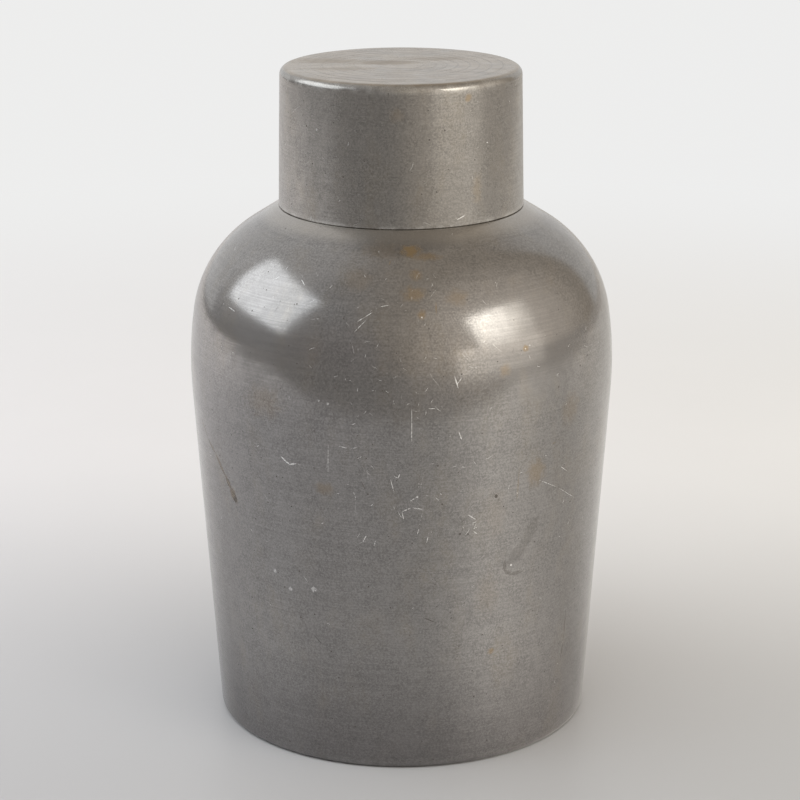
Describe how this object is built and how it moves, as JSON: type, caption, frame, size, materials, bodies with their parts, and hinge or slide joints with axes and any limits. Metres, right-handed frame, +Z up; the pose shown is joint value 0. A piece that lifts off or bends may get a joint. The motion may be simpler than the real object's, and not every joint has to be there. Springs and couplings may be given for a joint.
{
  "type": "tea caddy",
  "caption": "Round-shouldered pewter tea caddy: a tapered turned body with an upright neck, a plug-in inner lid with a knob, and a slip-on cap over both.",
  "frame": {"origin": "centre of the circle the foot ring stands on, on the standing plane", "axes": "+Z up along the axis that every piece is turned about; X and Y are any two level directions, because the caddy is round"},
  "size_m": [0.0992, 0.0992, 0.155],
  "materials": {
    "body_pewter": "old pewter, lathe-turned, satin with a dull warm-grey patina, fine scratches and brown stains",
    "cap_pewter": "old pewter, lathe-turned, satin with a warm-grey patina, paler on top with concentric turning rings",
    "inner_pewter": "pewter kept under the cap, lathe-turned, brighter and less tarnished"
  },
  "bodies": {
    "body": {"body_wall": "body_pewter", "shoulder": "body_pewter", "neck_collar": "inner_pewter", "base_plate": "body_pewter"},
    "inner_lid": {"inner_lid": "inner_pewter", "inner_lid_knob": "inner_pewter"},
    "cap": {"cap": "cap_pewter"}
  },
  "joints": [
    {"name": "inner_lid_lift", "type": "slide", "parent": "body", "child": "inner_lid", "axis": [0, 0, 1], "range_m": [0, 0.04]},
    {"name": "cap_lift", "type": "slide", "parent": "inner_lid", "child": "cap", "axis": [0, 0, 1], "range_m": [0, 0.06]}
  ]
}
